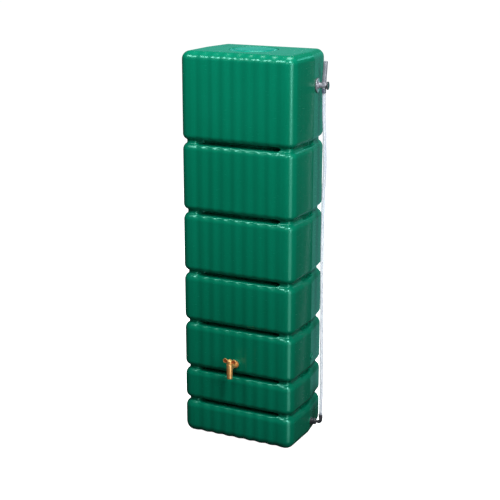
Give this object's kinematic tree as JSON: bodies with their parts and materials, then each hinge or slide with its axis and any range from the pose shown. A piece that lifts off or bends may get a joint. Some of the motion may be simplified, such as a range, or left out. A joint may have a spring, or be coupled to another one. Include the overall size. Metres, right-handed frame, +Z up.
{
  "type": "slim wall rainwater tank",
  "caption": "Tall slim moulded rainwater tank in grooved segments, with a round screw lid, a brass plug tap on the fluted front and a clear-hose level gauge on its side.",
  "frame": {"origin": "centre of the flat base that the tank stands on", "axes": "+Z up, -Y out of the fluted front with the tap, +X out of the side with the level gauge"},
  "size_m": [0.6201, 0.4704, 1.8015],
  "materials": {
    "tank_green": "glossy moulded polyethylene, a little orange peel",
    "lid_green": "glossy injection moulded",
    "brass": "copper-toned brass, satin",
    "brass_handle": "copper-toned brass, cast, satin",
    "steel": "plain",
    "black_plastic": "glossy moulded",
    "grey_plastic": "smooth",
    "clear_hose": "clear flexible tube",
    "rubber": "matte"
  },
  "bodies": {
    "tank": {"tank_shell": "tank_green", "filler_ring": "tank_green", "tap_body": "brass", "tap_outer_washer": "rubber", "tap_inner_washer": "rubber", "tap_lock_nut": "brass", "tap_gland_nut": "brass", "gauge_upper_tee": "black_plastic", "gauge_upper_washer": "rubber", "gauge_upper_nut": "black_plastic", "gauge_vent_tube": "grey_plastic", "gauge_upper_hose_clip": "grey_plastic", "gauge_hose": "clear_hose", "gauge_lower_connector": "black_plastic", "gauge_lower_washer": "rubber", "gauge_lower_inner_nut": "black_plastic", "gauge_lower_union_nut": "black_plastic", "gauge_elbow": "black_plastic", "gauge_elbow_seal": "rubber", "gauge_lower_hose_clip": "black_plastic"},
    "tap_rotor": {"tap_plug": "brass", "tap_plug_orings": "rubber", "tap_handle": "brass_handle", "tap_handle_screw": "steel"},
    "lid_seal": {"lid_gasket": "rubber"},
    "lid": {"lid": "lid_green"},
    "end_cap": {"gauge_end_cap": "black_plastic", "gauge_cap_seal": "rubber"}
  },
  "joints": [
    {"name": "tap_turn", "type": "hinge", "parent": "tank", "child": "tap_rotor", "pos_m": [0, -0.258, 0.384], "axis": [0, 0, 1], "range_deg": [0, 90]},
    {"name": "lid_lift", "type": "slide", "parent": "tank", "child": "lid_seal", "axis": [0, 0, 1], "range_m": [0, 0.3]},
    {"name": "lid_turn", "type": "hinge", "parent": "lid_seal", "child": "lid", "pos_m": [-0.012, 0.006, 1.79], "axis": [0, 0, 1], "continuous": true},
    {"name": "end_cap_turn", "type": "hinge", "parent": "tank", "child": "end_cap", "pos_m": [0.27414, 0.06, 1.651], "axis": [0.9877, 0.1564, 0], "continuous": true}
  ]
}
